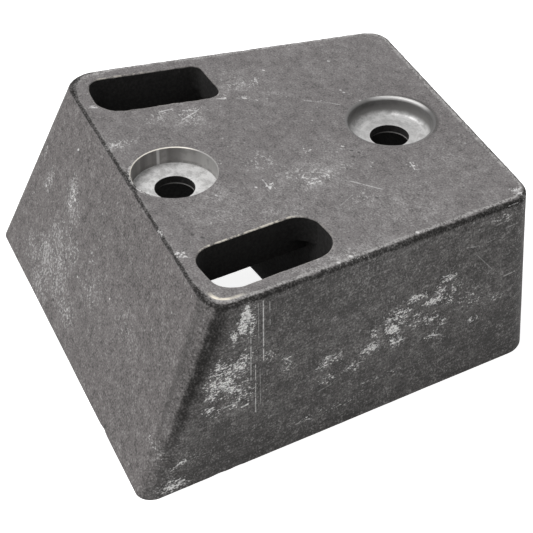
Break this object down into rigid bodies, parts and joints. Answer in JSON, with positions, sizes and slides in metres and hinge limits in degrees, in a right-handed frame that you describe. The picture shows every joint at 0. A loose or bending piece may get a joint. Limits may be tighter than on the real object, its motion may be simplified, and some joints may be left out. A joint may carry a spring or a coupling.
{
  "type": "sacrificial anode",
  "caption": "Hollow cast block anode with a sloped end, a flat top with counterbored bolt holes and a long slot beside each leg, open underneath.",
  "frame": {"origin": "centre of the base outline's bounding box, on the open mounting face", "axes": "+X across the block, +Y towards the narrow end, +Z from the open mounting face to the bolted top face"},
  "size_m": [0.118, 0.114, 0.049],
  "materials": {
    "cast_aluminium": "as-cast dull grey with scuffs; counterbores machined bright"
  },
  "bodies": {
    "root": {"anode_casting": "cast_aluminium"}
  },
  "joints": []
}
